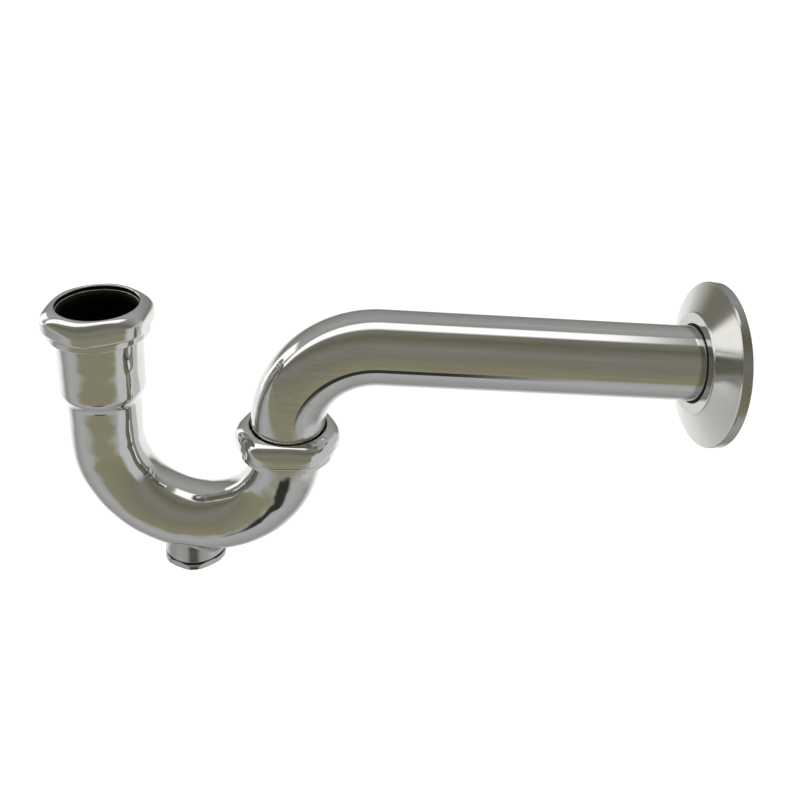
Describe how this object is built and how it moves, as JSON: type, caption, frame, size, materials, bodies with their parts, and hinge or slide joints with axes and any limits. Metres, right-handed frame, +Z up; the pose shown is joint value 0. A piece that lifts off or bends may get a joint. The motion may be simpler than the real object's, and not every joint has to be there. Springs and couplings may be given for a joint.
{
  "type": "p trap",
  "caption": "Chrome-plated brass P trap: cast U bend with slip nuts and a cleanout plug, swivelling wall tube and a sliding wall escutcheon.",
  "frame": {"origin": "centre of the inlet socket's mouth on the trap body, where the basin tailpiece enters", "axes": "+Z up the inlet, out of its mouth; +X along the wall tube, towards the wall; +Y completes a right-handed frame"},
  "size_m": [0.3351, 0.0836, 0.1808],
  "materials": {
    "cast_chrome": "polished chrome plate over a slightly wavy brass casting",
    "nut_chrome": "polished chrome plate over cast brass",
    "tube_chrome": "mirror chrome plate on drawn brass tube",
    "flange_chrome": "fine turned and plated, slightly satin",
    "plug_chrome": "plated, duller than the body",
    "ring_brass": "thin stamped ring, lightly plated",
    "black_rubber": "matt moulded rubber"
  },
  "bodies": {
    "trap": {"trap_body": "cast_chrome", "inlet_slip_washer": "black_rubber"},
    "inlet_ring": {"inlet_friction_ring": "ring_brass"},
    "inlet_nut": {"inlet_slip_nut": "nut_chrome"},
    "outlet_ring": {"outlet_friction_ring": "ring_brass"},
    "outlet_nut": {"outlet_slip_nut": "nut_chrome"},
    "tube_seal": {"outlet_slip_washer": "black_rubber"},
    "wall_tube": {"wall_tube": "tube_chrome"},
    "flange_grip": {"escutcheon_grip_ring": "black_rubber"},
    "flange": {"escutcheon": "flange_chrome"},
    "plug_gasket": {"cleanout_gasket": "black_rubber"},
    "plug": {"cleanout_plug": "plug_chrome"}
  },
  "joints": [
    {"name": "inlet_nut_lift", "type": "slide", "parent": "trap", "child": "inlet_ring", "axis": [0, 0, 1], "range_m": [0, 0.0083]},
    {"name": "inlet_nut_turn", "type": "hinge", "parent": "inlet_ring", "child": "inlet_nut", "pos_m": [0, 0, 0], "axis": [0, 0, 1], "range_deg": [0, 1350]},
    {"name": "outlet_nut_lift", "type": "slide", "parent": "trap", "child": "outlet_ring", "axis": [0, 0, 1], "range_m": [0, 0.0078]},
    {"name": "outlet_nut_turn", "type": "hinge", "parent": "outlet_ring", "child": "outlet_nut", "pos_m": [0.09552, -0.00962, -0.0586], "axis": [0, 0, 1], "range_deg": [0, 1260]},
    {"name": "tube_swivel", "type": "hinge", "parent": "trap", "child": "tube_seal", "pos_m": [0.09552, -0.00962, -0.0586], "axis": [0, 0, 1], "range_deg": [-120, 120]},
    {"name": "tube_slip", "type": "slide", "parent": "tube_seal", "child": "wall_tube", "axis": [0, 0, 1], "range_m": [0, 0.004]},
    {"name": "escutcheon_slide", "type": "slide", "parent": "wall_tube", "child": "flange_grip", "axis": [-1, 0, 0], "range_m": [0, 0.13]},
    {"name": "escutcheon_turn", "type": "hinge", "parent": "flange_grip", "child": "flange", "pos_m": [0.30902, -0.00962, -0.0054], "axis": [1, 0, 0], "continuous": true},
    {"name": "plug_drop", "type": "slide", "parent": "trap", "child": "plug_gasket", "axis": [0, 0, -1], "range_m": [0, 0.00545]},
    {"name": "plug_turn", "type": "hinge", "parent": "plug_gasket", "child": "plug", "pos_m": [0.04597, -0.00463, -0.1373], "axis": [0, 0, -1], "range_deg": [0, 1080]}
  ],
  "couplings": [
    {"joint": "inlet_nut_lift", "follows": "inlet_nut_turn", "m_per_rad": 0.00035157},
    {"joint": "outlet_nut_lift", "follows": "outlet_nut_turn", "m_per_rad": 0.00035157},
    {"joint": "plug_drop", "follows": "plug_turn", "m_per_rad": 0.00028871}
  ]
}
